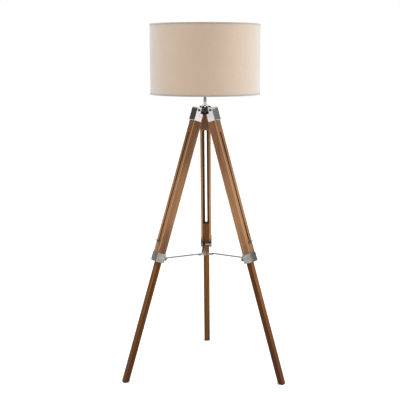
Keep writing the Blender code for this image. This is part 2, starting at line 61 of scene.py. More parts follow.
UPPER_TOP_T, UPPER_END_T = 0.0135, 0.6395
GROOVE_W, GROOVE_D, GROOVE_TOP_T = 0.0266, 0.0245, 0.081
SLOT_W, SLOT_TOP_T, SLOT_END_T = 0.0092, 0.094, 0.5685
LOWER_W, LOWER_D, LOWER_TOP_T = 0.026, 0.022, 0.526
LOWER_OUT = BACK + GROOVE_D - 0.0004
PAD_H = 0.004
SHEET = 0.0015
CAP_END_T, CAP_TOP_T, CAP_BEND_T = 0.0445, -0.0118, -0.0080
CAP_IN, CAP_TAB_IN, CAP_TAB_T, CAP_TOP_OUT = -0.0222, -0.0093, 0.0120, 0.0065
CAP_SCREW_O, CAP_SCREW_T = -0.0105, 0.0236
COLLAR_T, COLLAR_H, LUG_S, LUG_REACH, LUG_H = 0.6213, 0.037, 0.0150, 0.0155, 0.017
PIN_O, PIN_R, PIN_END = BACK - 0.009, 0.0025, 0.0256
WING_T, WING_IN = 0.556, -0.0185
STRAP_SIDE, STRAP_W, EYE_R, STRAP_HUB_R = 0.0045, 0.010, 0.0047, 0.030
# the strap's bar is 0.8 mm thicker than in the CAD, within the height of its rolled eyes
STRAP_BAR = 0.0040
HEAD_LOW, HEAD_HIGH, LUG_TIP_R = 0.0128, 0.0085, 0.0064
TUBE_R, TUBE_WALL, TUBE_HIGH_Z = 0.0058, 0.0012, 1.184
NUT_R, NUT_Z, NUT_H = 0.0135, 1.1136, 0.0126
GLAND_R, GLAND_H = 0.0088, 0.0078
SHADE_R, SHADE_Z, SHADE_TOP_Z = 0.225, 1.1663, 1.4488
HOLDER_Z, HOLDER_FLOOR_Z, HOLDER_TOP_Z = 1.172, 1.188, 1.225
BULB_Z, BULB_SHOULDER_Z, BULB_CENTRE_Z, BULB_R = 1.2198, 1.242, 1.297, 0.030
FLANGE_Z = 1.1905
FLANGE_TOP_Z = FLANGE_Z + 0.003
FITTER_H = 0.0022
HOLDER_R = 0.019
PIVOT_BORE, SCREW_BORE, PIN_BORE, WING_BORE, TUBE_BORE = 0.0033, 0.0023, 0.0028, 0.0033, 0.0061
SCREW_AT = (CAP_SCREW_O, CAP_SCREW_T)
PIN_AT = (PIN_O, COLLAR_T)
TIMBER_ROUND, TIMBER_EASE = 0.0026, 0.0006
LOWER_STRAIGHT, LOWER_FOOT_T = 0.572, 1.16
PAD_INSET = 0.0008
EAR_HALF, EAR_THICK, POST_HALF = 0.0039, 0.0024, 0.008
WIRE_R, ARM_R, WIRE_RING_R, WIRE_OFF = 0.002, 0.0019, 0.2196, 0.001
TAPE, OVERLAP, LAP_STEP = 0.0005, 0.012, 0.00045
# half the length of a tool that cuts right through a leg
THROUGH = 0.09
# corners flatter than this stay as they are, and a rounding takes at most this share of an edge
FLAT_CORNER, EDGE_SHARE = math.radians(172), 0.45

low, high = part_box("stem_tube")
AXIS = Vector(((low.x + high.x) / 2, (low.y + high.y) / 2, 0.0))
LAMP = Matrix.Translation(AXIS)


def about_axis(azimuth):
    """The turn round the lamp's axis from the back leg to the leg at this azimuth."""
    return Matrix.Rotation(math.radians(azimuth - 90.0), 4, "Z")


def side_frame(azimuth):
    """X across the leg, Y outwards, Z up, on the lamp's axis."""
    return LAMP @ about_axis(azimuth)


def leg_frame(azimuth):
    """X across the leg, Y outwards from it, Z down along it, from its pivot."""
    out = Vector((0.0, math.cos(TILT), math.sin(TILT)))
    down = Vector((0.0, math.sin(TILT), -math.cos(TILT)))
    axes = Matrix((Vector((-1.0, 0.0, 0.0)), out, down)).transposed().to_4x4()
    return side_frame(azimuth) @ Matrix.Translation((0.0, PIVOT_R, PIVOT_Z)) @ axes


# ---------------------------------------------------------------- mesh helpers
def arc(centre, radius, start, end, steps):
    turns = [math.radians(start + (end - start) * i / steps) for i in range(steps + 1)]
    return [(centre[0] + radius * math.cos(a), centre[1] + radius * math.sin(a)) for a in turns]


def circle(centre, radius, steps=32):
    return arc(centre, radius, 0, 360, steps)[:-1]


def loft(rings, closed=False):
    shape = bmesh.new()
    made = [[shape.verts.new(point) for point in ring] for ring in rings]
    pairs = list(zip(made, made[1:] + made[:1])) if closed else list(zip(made, made[1:]))
    for one, two in pairs:
        for i in range(len(one)):
            j = (i + 1) % len(one)
            shape.faces.new((one[i], one[j], two[j], two[i]))
    if not closed:
        shape.faces.new(made[0][::-1])
        shape.faces.new(made[-1])
    return shape


def along_x(outline, a, b):
    return loft([[(x, p, q) for p, q in outline] for x in (a, b)])


def along_y(outline, a, b):
    return loft([[(p, y, q) for p, q in outline] for y in (a, b)])


def along_z(outline, a, b):
    return loft([[(p, q, z) for p, q in outline] for z in (a, b)])


def box(a, b):
    return along_z([(a[0], a[1]), (b[0], a[1]), (b[0], b[1]), (a[0], b[1])], a[2], b[2])


def turned(profile, steps=48, centre=(0.0, 0.0), axis="Z"):
    """A closed profile of (radius, height) turned round an axis."""
    shape = bmesh.new()
    rings = []
    for radius, height in profile:
        ring = []
        for i in range(1 if radius < 1e-9 else steps):
            angle = 2 * math.pi * i / steps
            a = centre[0] + radius * math.cos(angle)
            b = centre[1] + radius * math.sin(angle)
            places = {"X": (height, a, b), "Y": (a, height, b), "Z": (a, b, height)}
            ring.append(shape.verts.new(places[axis]))
        rings.append(ring)
    for one, two in zip(rings, rings[1:] + rings[:1]):
        for i in range(steps):
            j = i + 1
            corners = [one[i % len(one)], one[j % len(one)], two[j % len(two)], two[i % len(two)]]
            corners = [c for n, c in enumerate(corners) if c not in corners[:n]]
            if len(corners) > 2:
                shape.faces.new(corners)
    return shape


def rounded(profile, radius, steps=4):
    """A closed outline with each corner replaced by a curve close to an arc of this radius."""
    made = []
    count = len(profile)
    for i, point in enumerate(profile):
        here = Vector(point)
        before = Vector(profile[i - 1]) - here
        after = Vector(profile[(i + 1) % count]) - here
        angle = before.angle(after) if before.length and after.length else math.pi
        if angle > FLAT_CORNER:
            made.append(tuple(here))
            continue
        cut = min(radius / math.tan(angle / 2), before.length * EDGE_SHARE, after.length * EDGE_SHARE)
        a = here + before.normalized() * cut
        b = here + after.normalized() * cut
        for k in range(steps + 1):
            t = k / steps
            made.append(tuple(a * (1 - t) ** 2 + here * 2 * t * (1 - t) + b * t * t))
    return made


def mesh_object(name, shape):
    bmesh.ops.recalc_face_normals(shape, faces=shape.faces)
    mesh = bpy.data.meshes.new(name)
    shape.to_mesh(mesh)
    shape.free()
    made = bpy.data.objects.new(name, mesh)
    bpy.context.scene.collection.objects.link(made)
    return made


def carve(target, steps):
    """Applies Booleans (shape, operation) in the target's own frame."""
    for shape, operation in steps:
        tool = mesh_object("tool", shape)
        step = target.modifiers.new("step", "BOOLEAN")
        step.operation, step.solver, step.object = operation, "EXACT", tool
        bpy.context.view_layer.update()
        graph = bpy.context.evaluated_depsgraph_get()
        made = bpy.data.meshes.new_from_object(target.evaluated_get(graph))
        target.modifiers.clear()
        old, target.data = target.data, made
        bpy.data.meshes.remove(old)
        bpy.data.objects.remove(tool)


def piece(name, shape, look, body, nodes, slot, place=LAMP, cuts=(), bevel=0.0, segments=2, sharp=38.0):
    """Makes, cuts, smooths, colours and places a piece, hangs it on its body and hides the CAD nodes that it
    replaces.
    """
    obj = mesh_object(name, shape)
    carve(obj, cuts)
    if bevel:
        step = obj.modifiers.new("Bevel", "BEVEL")
        step.width, step.segments, step.limit_method = bevel, segments, "ANGLE"
        step.angle_limit = math.radians(sharp)
        step.use_clamp_overlap = True
        step.harden_normals = True
    obj.data.shade_smooth()
    if not bevel:
        obj.data.set_sharp_from_angle(angle=math.radians(sharp))
    obj.data.materials.clear()
    obj.data.materials.append(look)
    obj.matrix_world = place
    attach(obj, body)
    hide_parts(*nodes)
    return obj


def leg_piece(n, part, suffix, shape, look, body, place, slot, cuts=(), **options):
    """A piece named after the leg's CAD node that it replaces."""
    node = f"leg_{n}_{part}"
    return piece(f"{node}_{suffix}", shape, look, body, [node], slot, place, cuts, **options)


def head_piece(node, suffix, shape, look, slot, cuts=(), **options):
    """A piece of the head, named after the CAD node that it replaces."""
    return piece(f"{node}_{suffix}", shape, look, "head", [node], slot, LAMP, cuts, **options)


# ---------------------------------------------------------------- materials
# the sockets of a Mix node that mixes colours
MIX_SHARE, MIX_A, MIX_B, MIX_RESULT = 0, 6, 7, 2


def put(tree, kind, inputs=None, **settings):
    made = tree.nodes.new(kind)
    for key, value in settings.items():
        setattr(made, key, value)
    for key, value in (inputs or {}).items():
        if isinstance(value, bpy.types.NodeSocket):
            tree.links.new(value, made.inputs[key])
        else:
            made.inputs[key].default_value = value
    return made


def maths(tree, operation, a, b=0.0, clamp=False):
    made = put(tree, "ShaderNodeMath", {0: a, 1: b}, operation=operation)
    made.use_clamp = clamp
    return made.outputs[0]


def times(tree, a, b):
    return maths(tree, "MULTIPLY", a, b)


def plus(tree, a, b, clamp=False):
    return maths(tree, "ADD", a, b, clamp)


def minus(tree, a, b):
    return maths(tree, "SUBTRACT", a, b)


def smooth_range(tree, value, a, b, low_out=0.0, high_out=1.0):
    limits = {"From Min": a, "From Max": b, "To Min": low_out, "To Max": high_out}
    made = put(tree, "ShaderNodeMapRange", {"Value": value, **limits})
    made.interpolation_type = "SMOOTHSTEP"
    return made.outputs[0]


def mix_colour(tree, share, a, b):
    made = put(tree, "ShaderNodeMix", data_type="RGBA")
    for index, value in ((MIX_SHARE, share), (MIX_A, a), (MIX_B, b)):
        socket = made.inputs[index]
        if isinstance(value, bpy.types.NodeSocket):
            tree.links.new(value, socket)
        elif index == MIX_SHARE:
            socket.default_value = value
        else:
            socket.default_value = (*value, 1.0)
    return made.outputs[MIX_RESULT]


def scaled(colour, share):
    return tuple(min(1.0, v * share) for v in colour)


def noise(tree, vector, scale, detail=3.0, rough=0.5, distortion=0.0):
    look = {"Scale": scale, "Detail": detail, "Roughness": rough, "Distortion": distortion}
    return put(tree, "ShaderNodeTexNoise", {"Vector": vector, **look}).outputs[0]


def stretched(tree, source, scale, offset=(0.0, 0.0, 0.0)):
    return put(tree, "ShaderNodeMapping", {"Vector": source, "Scale": scale, "Location": offset}).outputs[0]


def ramp(tree, value, stops):
    made = put(tree, "ShaderNodeValToRGB", {"Fac": value})
    while len(made.color_ramp.elements) < len(stops):
        made.color_ramp.elements.new(0.5)
    for element, (at, colour) in zip(made.color_ramp.elements, stops):
        element.position = at
        element.color = (*colour, 1.0)
    return made.outputs[0]


def start(name):
    made = bpy.data.materials.new(name)
    made.use_nodes = True
    tree = made.node_tree
    shader = tree.nodes["Principled BSDF"]
    where = tree.nodes.new("ShaderNodeTexCoord").outputs["Object"]
    return made, tree, shader, where


def bump(tree, shader, height, strength, distance):
    made = put(tree, "ShaderNodeBump", {"Height": height, "Strength": strength, "Distance": distance})
    tree.links.new(made.outputs[0], shader.inputs["Normal"])


# noise cells per metre across, through and along the grain
BOARDS, BENDS, STREAKS = (26, 26, 1.6), (14, 14, 1.1), (70, 70, 3.2)
FIBRES, FLECKS, PORES = (420, 420, 9), (170, 170, 34), (1500, 1500, 55)
# growth lines: radians per metre in X and Y, how far they bend, and how close they are
LINES_X, LINES_Y, LINES_BEND, LINES_CLOSE = 330.0, 250.0, 21.0, 2.2
# from the edge of the timber: where the lighter edge, partly rubbed wear and partly painted highlight, runs
# to and from, and how uneven that is
EDGE_WEAR_AND_HIGHLIGHT_FROM, EDGE_WEAR_AND_HIGHLIGHT_TO, EDGE_WEAR_AND_HIGHLIGHT_UNEVEN = 0.0036, 0.0012, 0.0009
# how far above the foot the painted shade begins
FOOT_SHADE_H = 0.48
SPECULAR_LOWER, SPECULAR_UPPER = 0.07, 0.30


def wood(name, tints, seed, half_w, low_y, high_y, foot=None, cavity=None, sides=0.0, painted_shade=0.0, pale=0.0):
    """Oiled oak with the grain along the piece's own Z, one layer of colour over the other."""
    made, tree, shader, where = start(name)
    dark, mid, light = tints
    shift = (seed * 1.37, seed * 0.71, seed * 2.13)
    x, y, z = put(tree, "ShaderNodeSeparateXYZ", {0: where}).outputs

    def grain(scale, detail, rough, distortion=0.0):
        return noise(tree, stretched(tree, where, scale, shift), 1.0, detail, rough, distortion)

    def lay(mask, share, tint):
        return mix_colour(tree, times(tree, mask, share), base, tint)

    # broad boards of colour along the length
    broad = grain(BOARDS, 4.0, 0.55)
    # growth lines: bands across the width, drawn out and bent along the grain
    bend = grain(BENDS, 2.0, 0.5)
    across = plus(tree, times(tree, x, LINES_X), times(tree, y, LINES_Y))
    across = plus(tree, across, times(tree, bend, LINES_BEND))
    lines = smooth_range(tree, maths(tree, "SINE", times(tree, across, LINES_CLOSE)), -0.2, 1.0)
    fine = grain(FIBRES, 3.0, 0.6)
    pores = smooth_range(tree, grain(PORES, 2.0, 0.6), 0.60, 0.70)
    flecks = smooth_range(tree, grain(FLECKS, 2.0, 0.5), 0.64, 0.74)
    tone = plus(tree, times(tree, broad, 0.75), times(tree, fine, 0.30))
    base = ramp(tree, tone, [(0.34, dark), (0.52, mid), (0.70, light)])
    streaks = smooth_range(tree, grain(STREAKS, 3.0, 0.6, 0.4), 0.56, 0.72)
    base = lay(streaks, 0.55, dark)
    base = lay(lines, 0.34, dark)
    base = lay(flecks, 0.22, light)
    base = lay(pores, 0.55, scaled(dark, 0.35))
    # edges lighter: partly rubbed wear, partly a painted highlight on the rounded edges
    from_x = minus(tree, half_w, maths(tree, "ABSOLUTE", x))
    off_middle = maths(tree, "ABSOLUTE", minus(tree, y, (low_y + high_y) / 2))
    from_y = minus(tree, (high_y - low_y) / 2, off_middle)
    corner = plus(tree, plus(tree, from_x, from_y), times(tree, fine, EDGE_WEAR_AND_HIGHLIGHT_UNEVEN))
    base = lay(smooth_range(tree, corner, EDGE_WEAR_AND_HIGHLIGHT_FROM, EDGE_WEAR_AND_HIGHLIGHT_TO), 0.75, scaled(light, 1.55))
    if foot:
        # painted shade on the side faces, and painted shade growing darker towards the foot
        base = lay(smooth_range(tree, from_x, 0.0022, 0.0004), sides, dark)
        uneven = plus(tree, z, times(tree, broad, 0.12))
        base = lay(smooth_range(tree, uneven, foot - FOOT_SHADE_H, foot + 0.02), painted_shade, scaled(dark, 0.85))
    if cavity:
        # a painted highlight half-way down, and the timber darker again above the collar
        middle = times(tree, smooth_range(tree, z, 0.16, 0.32), smooth_range(tree, z, 0.55, 0.45))
        base = lay(middle, pale, scaled(light, 1.1))
        base = mix_colour(tree, smooth_range(tree, z, 0.54, 0.60, 0.0, pale), base, dark)
        # the inner face is bare, and painted shade darkens it above the groove
        bare = smooth_range(tree, y, low_y + 0.0016, low_y + 0.0004)
        above = smooth_range(tree, z, GROOVE_TOP_T + 0.016, GROOVE_TOP_T - 0.012)
        shaded_top = times(tree, bare, above)
        base = lay(bare, 0.42, scaled(light, 1.25))
        base = lay(shaded_top, 0.80, dark)
        # painted shade inside the groove and the slot
        within = smooth_range(tree, maths(tree, "ABSOLUTE", x), cavity + 0.0006, cavity - 0.0002)
        past_inner = smooth_range(tree, y, low_y + 0.0005, low_y + 0.0025)
        before_outer = smooth_range(tree, y, high_y - 0.0004, high_y - 0.0022)
        inside = times(tree, past_inner, before_outer)
        base = lay(times(tree, within, inside), 0.86, scaled(dark, 0.32))
    tree.links.new(base, shader.inputs["Base Color"])
    rough = plus(tree, 0.36, times(tree, fine, 0.16))
    rough = plus(tree, rough, times(tree, pores, 0.15))
    tree.links.new(rough, shader.inputs["Roughness"])
    shader.inputs["Specular IOR Level"].default_value = SPECULAR_LOWER if foot else SPECULAR_UPPER
    height = minus(tree, times(tree, fine, 0.35), times(tree, pores, 0.8))
    height = minus(tree, height, times(tree, lines, 0.2))
    bump(tree, shader, height, 0.35, 0.0003)
    return made


def metal(name, colour, rough, mottle, scale, dents, brushed=None, stain=None):
    """Metal with stained patches, uneven roughness and small dents, and brush marks where it has them."""
    made, tree, shader, where = start(name)
    wide = noise(tree, where, scale, 4.0, 0.6)
    fine = noise(tree, where, scale * 9, 2.0, 0.5)
    share = smooth_range(tree, wide, 0.35, 0.75, 0.0, mottle)
    base = mix_colour(tree, share, colour, stain or scaled(colour, 0.72))
    tree.links.new(base, shader.inputs["Base Color"])
    shader.inputs["Metallic"].default_value = 1.0
    spread = times(tree, minus(tree, wide, 0.5), rough * 0.8 + mottle * 0.25)
    value = plus(tree, rough, spread, clamp=True)
    height = plus(tree, times(tree, wide, 0.6), times(tree, fine, 0.4))
    if brushed:
        streak = noise(tree, stretched(tree, where, brushed), 1.0, 3.0, 0.6)
        value = plus(tree, value, times(tree, minus(tree, streak, 0.5), 0.18), clamp=True)
        height = plus(tree, height, times(tree, streak, 0.7))
    tree.links.new(value, shader.inputs["Roughness"])
    bump(tree, shader, height, dents, 0.0004)
    return made


def plain(name, colour, rough, scale, vary, dents, coat=0.0):
    """Rubber, moulding, glaze or powder coat: one colour with small changes in it."""
    made, tree, shader, where = start(name)
    wide = noise(tree, where, scale, 4.0, 0.6)
    fine = noise(tree, where, scale * 7, 2.0, 0.5)
    base = ramp(tree, wide, [(0.3, scaled(colour, 1 - vary)), (0.7, scaled(colour, 1 + vary))])
    tree.links.new(base, shader.inputs["Base Color"])
    shader.inputs["Coat Weight"].default_value = coat
    value = plus(tree, rough, times(tree, minus(tree, wide, 0.5), 0.2), clamp=True)
    tree.links.new(value, shader.inputs["Roughness"])
    bump(tree, shader, fine, dents, 0.0003)
    return made


# the linen's thread pitch, and the noise cells per metre round the drum and up it
PITCH = 0.00075
WEFT, WARP, SLUBS = (22, 1500, 1), (1500, 20, 1), (34, 520, 1)
LINER_LOW, LINER_HIGH = (0.70, 0.69, 0.68), (0.74, 0.73, 0.72)
SHEEN_TINT = (0.62, 0.80, 0.93, 1.0)


def cloth(name, colour, dark_thread_and_shade):
    """Woven linen with slubs outside, and a smooth pale liner inside."""
    made, tree, shader, where = start(name)
    x, y, z = put(tree, "ShaderNodeSeparateXYZ", {0: where}).outputs
    round_it = times(tree, maths(tree, "ARCTAN2", y, x), SHADE_R)
    flat = put(tree, "ShaderNodeCombineXYZ", {0: round_it, 1: z, 2: 0.0}).outputs[0]
    weft = noise(tree, stretched(tree, flat, WEFT), 1.0, 3.0, 0.65)
    warp = noise(tree, stretched(tree, flat, WARP, (3.1, 1.7, 0.0)), 1.0, 3.0, 0.65)
    slubs = noise(tree, stretched(tree, flat, SLUBS, (7.7, 0.3, 0.0)), 1.0, 2.0, 0.5)
    slubs = smooth_range(tree, slubs, 0.60, 0.80)
    clouds = noise(tree, flat, 9.0, 3.0, 0.5)
    across = maths(tree, "SINE", times(tree, round_it, 2 * math.pi / PITCH))
    upward = maths(tree, "SINE", times(tree, z, 2 * math.pi / PITCH))
    weave = times(tree, across, upward)
    threads = plus(tree, weft, warp)
    tone = plus(tree, times(tree, threads, 0.42), times(tree, clouds, 0.16))
    base = ramp(tree, tone, [(0.30, dark_thread_and_shade), (0.62, colour)])
    base = mix_colour(tree, times(tree, slubs, 0.28), base, scaled(colour, 1.12))
    # painted shade between the threads of the weave
    between = smooth_range(tree, weave, -1.0, -0.2, 1.0, 0.0)
    base = mix_colour(tree, times(tree, between, 0.16), base, dark_thread_and_shade)
    level = put(tree, "ShaderNodeCombineXYZ", {0: x, 1: y}).outputs[0]
    from_axis = put(tree, "ShaderNodeVectorMath", {0: level}, operation="LENGTH").outputs["Value"]
    lining = smooth_range(tree, from_axis, SHADE_R - 0.0014, SHADE_R - 0.0017)
    base = mix_colour(tree, lining, base, ramp(tree, clouds, [(0.3, LINER_LOW), (0.7, LINER_HIGH)]))
    tree.links.new(base, shader.inputs["Base Color"])
    shader.inputs["Roughness"].default_value = 0.92
    shader.inputs["Sheen Weight"].default_value = 0.76
    shader.inputs["Sheen Roughness"].default_value = 0.6
    shader.inputs["Sheen Tint"].default_value = SHEEN_TINT
    height = plus(tree, times(tree, weave, 0.25), times(tree, threads, 0.5))
    height = plus(tree, height, times(tree, slubs, 0.5))
    bump(tree, shader, height, 0.35, 0.0004)
    return made


def opal(name, colour, strength):
    """Opal glass, faintly lit."""
    made, tree, shader, where = start(name)
    wide = noise(tree, where, 60.0, 2.0, 0.5)
    base = ramp(tree, wide, [(0.3, scaled(colour, 0.94)), (0.7, colour)])
    tree.links.new(base, shader.inputs["Base Color"])
    shader.inputs["Roughness"].default_value = 0.18
    shader.inputs["Coat Weight"].default_value = 0.4
    shader.inputs["Emission Color"].default_value = (1.0, 0.72, 0.42, 1.0)
    shader.inputs["Emission Strength"].default_value = strength
    bump(tree, shader, wide, 0.02, 0.0005)
    return made


UPPER_OAK = ((0.085, 0.030, 0.0078), (0.215, 0.092, 0.0310), (0.420, 0.220, 0.092))
LOWER_OAK = ((0.060, 0.0185, 0.0036), (0.185, 0.070, 0.0150), (0.350, 0.165, 0.0560))
# how strong each upper leg's painted highlight half-way down is, and how dark it grows above the collar
UPPER_PAINTED_HIGHLIGHT = {"1": 0.05, "2": 0.30, "3": 0.30}
# how dark each lower leg's timber is (the back leg's darker tone is painted shade), how much painted shade
# its side faces get and how much painted shade darkens its foot
LOWER_TIMBER = {"1": (0.70, 0.3, 0.3), "2": (1.0, 0.40, 0.7), "3": (1.04, 0.80, 0.7)}
# metal: colour, roughness, share of stain, noise scale and depth of dents
NICKEL = metal("nickel_bright", (0.80, 0.785, 0.775), 0.13, 0.10, 90.0, 0.06, brushed=(30, 30, 900))
STEM = metal("nickel_stem", (0.54, 0.48, 0.44), 0.11, 0.10, 160.0, 0.04, brushed=(900, 900, 40))
# a darker copy of the satin nickel for the back leg's collar: painted shade
SATIN_PAINTED_SHADE = metal("nickel_satin_painted_shade", (0.175, 0.155, 0.140), 0.34, 0.95, 230.0, 0.45,
                   stain=(0.060, 0.048, 0.040))
SATIN = metal("nickel_satin", (0.35, 0.335, 0.32), 0.30, 0.95, 230.0, 0.55, stain=(0.105, 0.098, 0.092))
STRAP = metal("nickel_strap", (0.185, 0.180, 0.182), 0.30, 0.25, 260.0, 0.10, brushed=(900, 30, 900))
BLACK = metal("steel_black", (0.075, 0.07, 0.065), 0.34, 0.5, 300.0, 0.15, stain=(0.16, 0.145, 0.13))
BRASS = metal("bulb_brass", (0.80, 0.60, 0.30), 0.24, 0.2, 300.0, 0.08)
# plain: colour, roughness, noise scale, change of colour, depth of dents and coat
RUBBER = plain("rubber_pad", (0.030, 0.024, 0.020), 0.80, 600.0, 0.3, 0.4)
BAKELITE = plain("holder_black", (0.018, 0.017, 0.017), 0.30, 500.0, 0.25, 0.08, coat=0.3)
CERAMIC = plain("holder_ceramic", (0.78, 0.76, 0.71), 0.25, 220.0, 0.05, 0.05, coat=0.4)
WHITE_WIRE = plain("wire_white", (0.78, 0.77, 0.75), 0.38, 400.0, 0.06, 0.15)
OPAL = opal("bulb_opal", (0.92, 0.90, 0.86), 0.25)
SHADE_CLOTH = cloth("shade_linen", (0.532, 0.396, 0.283), (0.460, 0.336, 0.235))
TRIM_CLOTH = cloth("shade_tape", (0.36, 0.31, 0.27), (0.30, 0.255, 0.22))


# ---------------------------------------------------------------- turned fasteners
def fastener(shaft, inner, head_r, head_h):
    """A profile across the leg: a shaft with a domed head outside each end."""
    rim = 0.30
    head = [(shaft, inner), (head_r, inner), (head_r, inner + head_h * rim)]
    for angle in (15, 30, 45, 60, 75):
        turn = math.radians(angle)
        rise = rim + (1 - rim) * math.sin(turn)
        head.append((head_r * math.cos(turn), inner + head_h * rise))
    head.append((0.0, inner + head_h))
    return head + [(r, -h) for r, h in reversed(head)]


# ---------------------------------------------------------------- legs
def timber(half_w, low, high):
    """A timber's section with rounded edges."""
    return rounded([(-half_w, low), (half_w, low), (half_w, high), (-half_w, high)], TIMBER_ROUND, 5)


def upper_leg(n, place, body):
    w = UPPER_W / 2
    arch = GROOVE_W / 2
    end = SLOT_W / 2
    past = 0.70
    look = wood(f"oak_upper_{n}", UPPER_OAK, float(n) * 3.7, w, BACK, FRONT, cavity=arch, pale=UPPER_PAINTED_HIGHLIGHT[n])
    groove = arc((0.0, GROOVE_TOP_T + arch), arch, 180, 360, 32) + [(arch, past), (-arch, past)]
    slot = arc((0.0, SLOT_TOP_T + end), end, 180, 360, 20) + arc((0.0, SLOT_END_T - end), end, 0, 180, 20)
    cuts = [
        (along_y(groove, -THROUGH, BACK + GROOVE_D), "DIFFERENCE"),
        (along_y(slot, BACK + GROOVE_D / 2, THROUGH), "DIFFERENCE"),
        (along_x(circle(SCREW_AT, SCREW_BORE, 24), -THROUGH, THROUGH), "DIFFERENCE"),
    ]
    stock = along_z(timber(w, BACK, FRONT), UPPER_TOP_T, UPPER_END_T)
    leg_piece(n, "upper", "wood", stock, look, body, place, "oak", cuts, bevel=0.0007)


def cap(n, place, body):
    half_w = UPPER_W / 2 + GAP
    face = FRONT + GAP + SHEET
    outline = [(CAP_IN, CAP_END_T), (CAP_IN, CAP_TAB_T), (CAP_TAB_IN, CAP_TAB_T), (CAP_TAB_IN, CAP_TOP_T),
               (CAP_TOP_OUT, CAP_TOP_T), (face, CAP_BEND_T), (face, CAP_END_T)]
    outline = rounded(outline, 0.0016, 5)
    slope = Vector((face - CAP_TOP_OUT, CAP_BEND_T - CAP_TOP_T)).normalized()
    inward = Vector((-slope.y, slope.x)) * SHEET
    bend = Vector((face, CAP_BEND_T)) + inward
    bend += slope * ((face - SHEET - bend.x) / slope.x)
    top = bend - slope * 0.03
    inside = [(-THROUGH, THROUGH), (-THROUGH, top.y), tuple(top), tuple(bend), (bend.x, THROUGH)]
    shell = along_x(outline, -half_w - SHEET, half_w + SHEET)
    cuts = [(along_x(inside, -half_w, half_w), "DIFFERENCE")]
    for centre, radius in (((0.0, 0.0), PIVOT_BORE), (SCREW_AT, SCREW_BORE)):
        cuts.append((along_x(circle(centre, radius, 32), -THROUGH, THROUGH), "DIFFERENCE"))
    leg_piece(n, "cap", "sheet", shell, NICKEL, body, place, "chrome", cuts, bevel=0.00055, segments=3)
    outer = half_w + SHEET + GAP
    bolt = turned(fastener(0.0030, outer, 0.0054, 0.0042), 40, axis="X")
    socket = [(along_x(circle((0.0, 0.0), 0.0021, 6), outer + 0.0022, outer + 0.02), "DIFFERENCE")]
    leg_piece(n, "pivot_bolt", "turned", bolt, BLACK, body, place, "black_steel", socket, bevel=0.00018)
    screw = turned(fastener(0.0020, outer, 0.0036, 0.0018), 32, SCREW_AT, "X")
    out, down = SCREW_AT
    slit_length, slit_width = 0.0028, 0.0004
    slits = []
    for a, b in ((slit_length, slit_width), (slit_width, slit_length)):
        for sign in (1, -1):
            x = sorted((sign * (outer + 0.0008), sign * (outer + 0.01)))
            slits.append((box((x[0], out - a, down - b), (x[1], out + a, down + b)), "DIFFERENCE"))
    leg_piece(n, "cap_screw", "turned", screw, NICKEL, body, place, "chrome", slits, bevel=0.0001, segments=1)


def along_leg(out, height):
    """How far down the leg a point is that lies at this height."""
    return (PIVOT_Z - height + out * math.sin(TILT)) / math.cos(TILT)


def lower_leg(n, place, body):
    a, b = LOWER_OUT - LOWER_D, LOWER_OUT
    w = LOWER_W / 2
    tone, sides, painted_shade = LOWER_TIMBER[n]
    tints = [scaled(tint, tone) for tint in LOWER_OAK]
    seed = float(n) * 5.3 + 1.9
    look = wood(f"oak_lower_{n}", tints, seed, w, a, b, foot=LOWER_FOOT_T, sides=sides, painted_shade=painted_shade)

    def section(inset):
        return timber(w - inset, a + inset, b - inset)

    ease = TIMBER_EASE
    rings = [[(s, o, LOWER_TOP_T) for s, o in section(ease)]]
    rows = 12
    for k in range(rows + 1):
        t = LOWER_TOP_T + ease + (LOWER_STRAIGHT - ease) * k / rows
        rings.append([(s, o, t) for s, o in section(0.0)])
    for inset, lift in ((0.0, ease), (ease, 0.0)):
        rings.append([(s, o, along_leg(o, PAD_H + GAP + lift)) for s, o in section(inset)])
    bore = along_y(circle((0.0, WING_T), WING_BORE, 32), WING_IN - 2 * GAP, UPPER_D)
    cuts = [(bore, "DIFFERENCE")]
    leg_piece(n, "lower", "wood", loft(rings), look, body, place, "dark_oak", cuts, sharp=50)
    steps = ((PAD_INSET + ease, PAD_H), (PAD_INSET, PAD_H - ease), (PAD_INSET, ease), (PAD_INSET + ease, 0.0))
    pad = loft([[(s, o, along_leg(o, h)) for s, o in section(inset)] for inset, h in steps])
    leg_piece(n, "foot_pad", "felt", pad, RUBBER, body, place, "rubber", sharp=50)


def clamp(n, place, body, wing_body):
    face = FRONT + GAP
    outer = 0.0098
    ring = [(WING_BORE, face), (outer, face), (outer, face + SHEET), (WING_BORE, face + SHEET)]
    washer = turned(rounded(ring, 0.0004, 3), 48, (0.0, WING_T), "Y")
    leg_piece(n, "clamp_washer", "turned", washer, SATIN, body, place, "satin_steel", sharp=50)
    shank, root, pitch = 0.0030, 0.0026, 0.0008
    base = face + SHEET + GAP
    boss = base + 0.0062
    thread = []
    o = WING_IN + 0.0006
    while o < base - 0.0012:
        thread += [(shank, o), (root, o + pitch / 2)]
        o += pitch
    profile = [(0.0, WING_IN), (0.0024, WING_IN)] + thread
    profile += [(shank, base), (0.0065, base), (0.0064, base + 0.0012), (0.0056, base + 0.0020),
                (0.0053, boss - 0.0008), (0.0046, boss), (0.0030, boss + 0.0006), (0.0, boss + 0.0009)]
    tip = 0.0155
    right = [(0.0030, base + 0.0012), (0.0075, base + 0.0022), (tip - 0.0030, base + 0.0052),
             (tip - 0.0005, base + 0.0072), (tip, base + 0.0096), (tip - 0.0018, base + 0.0110),
             (tip - 0.0046, base + 0.0102), (0.0068, base + 0.0066), (0.0030, base + 0.0056)]
    outline = rounded(right + [(-s, q) for s, q in reversed(right)], 0.0012, 3)
    wing_half = 0.0013
    wings = [(along_z(outline, WING_T - wing_half, WING_T + wing_half), "UNION")]
    bolt = turned(profile, 32, (0.0, WING_T), "Y")
    leg_piece(n, "wing_bolt", "cast", bolt, BLACK, wing_body, place, "black_steel", wings, bevel=0.0004)


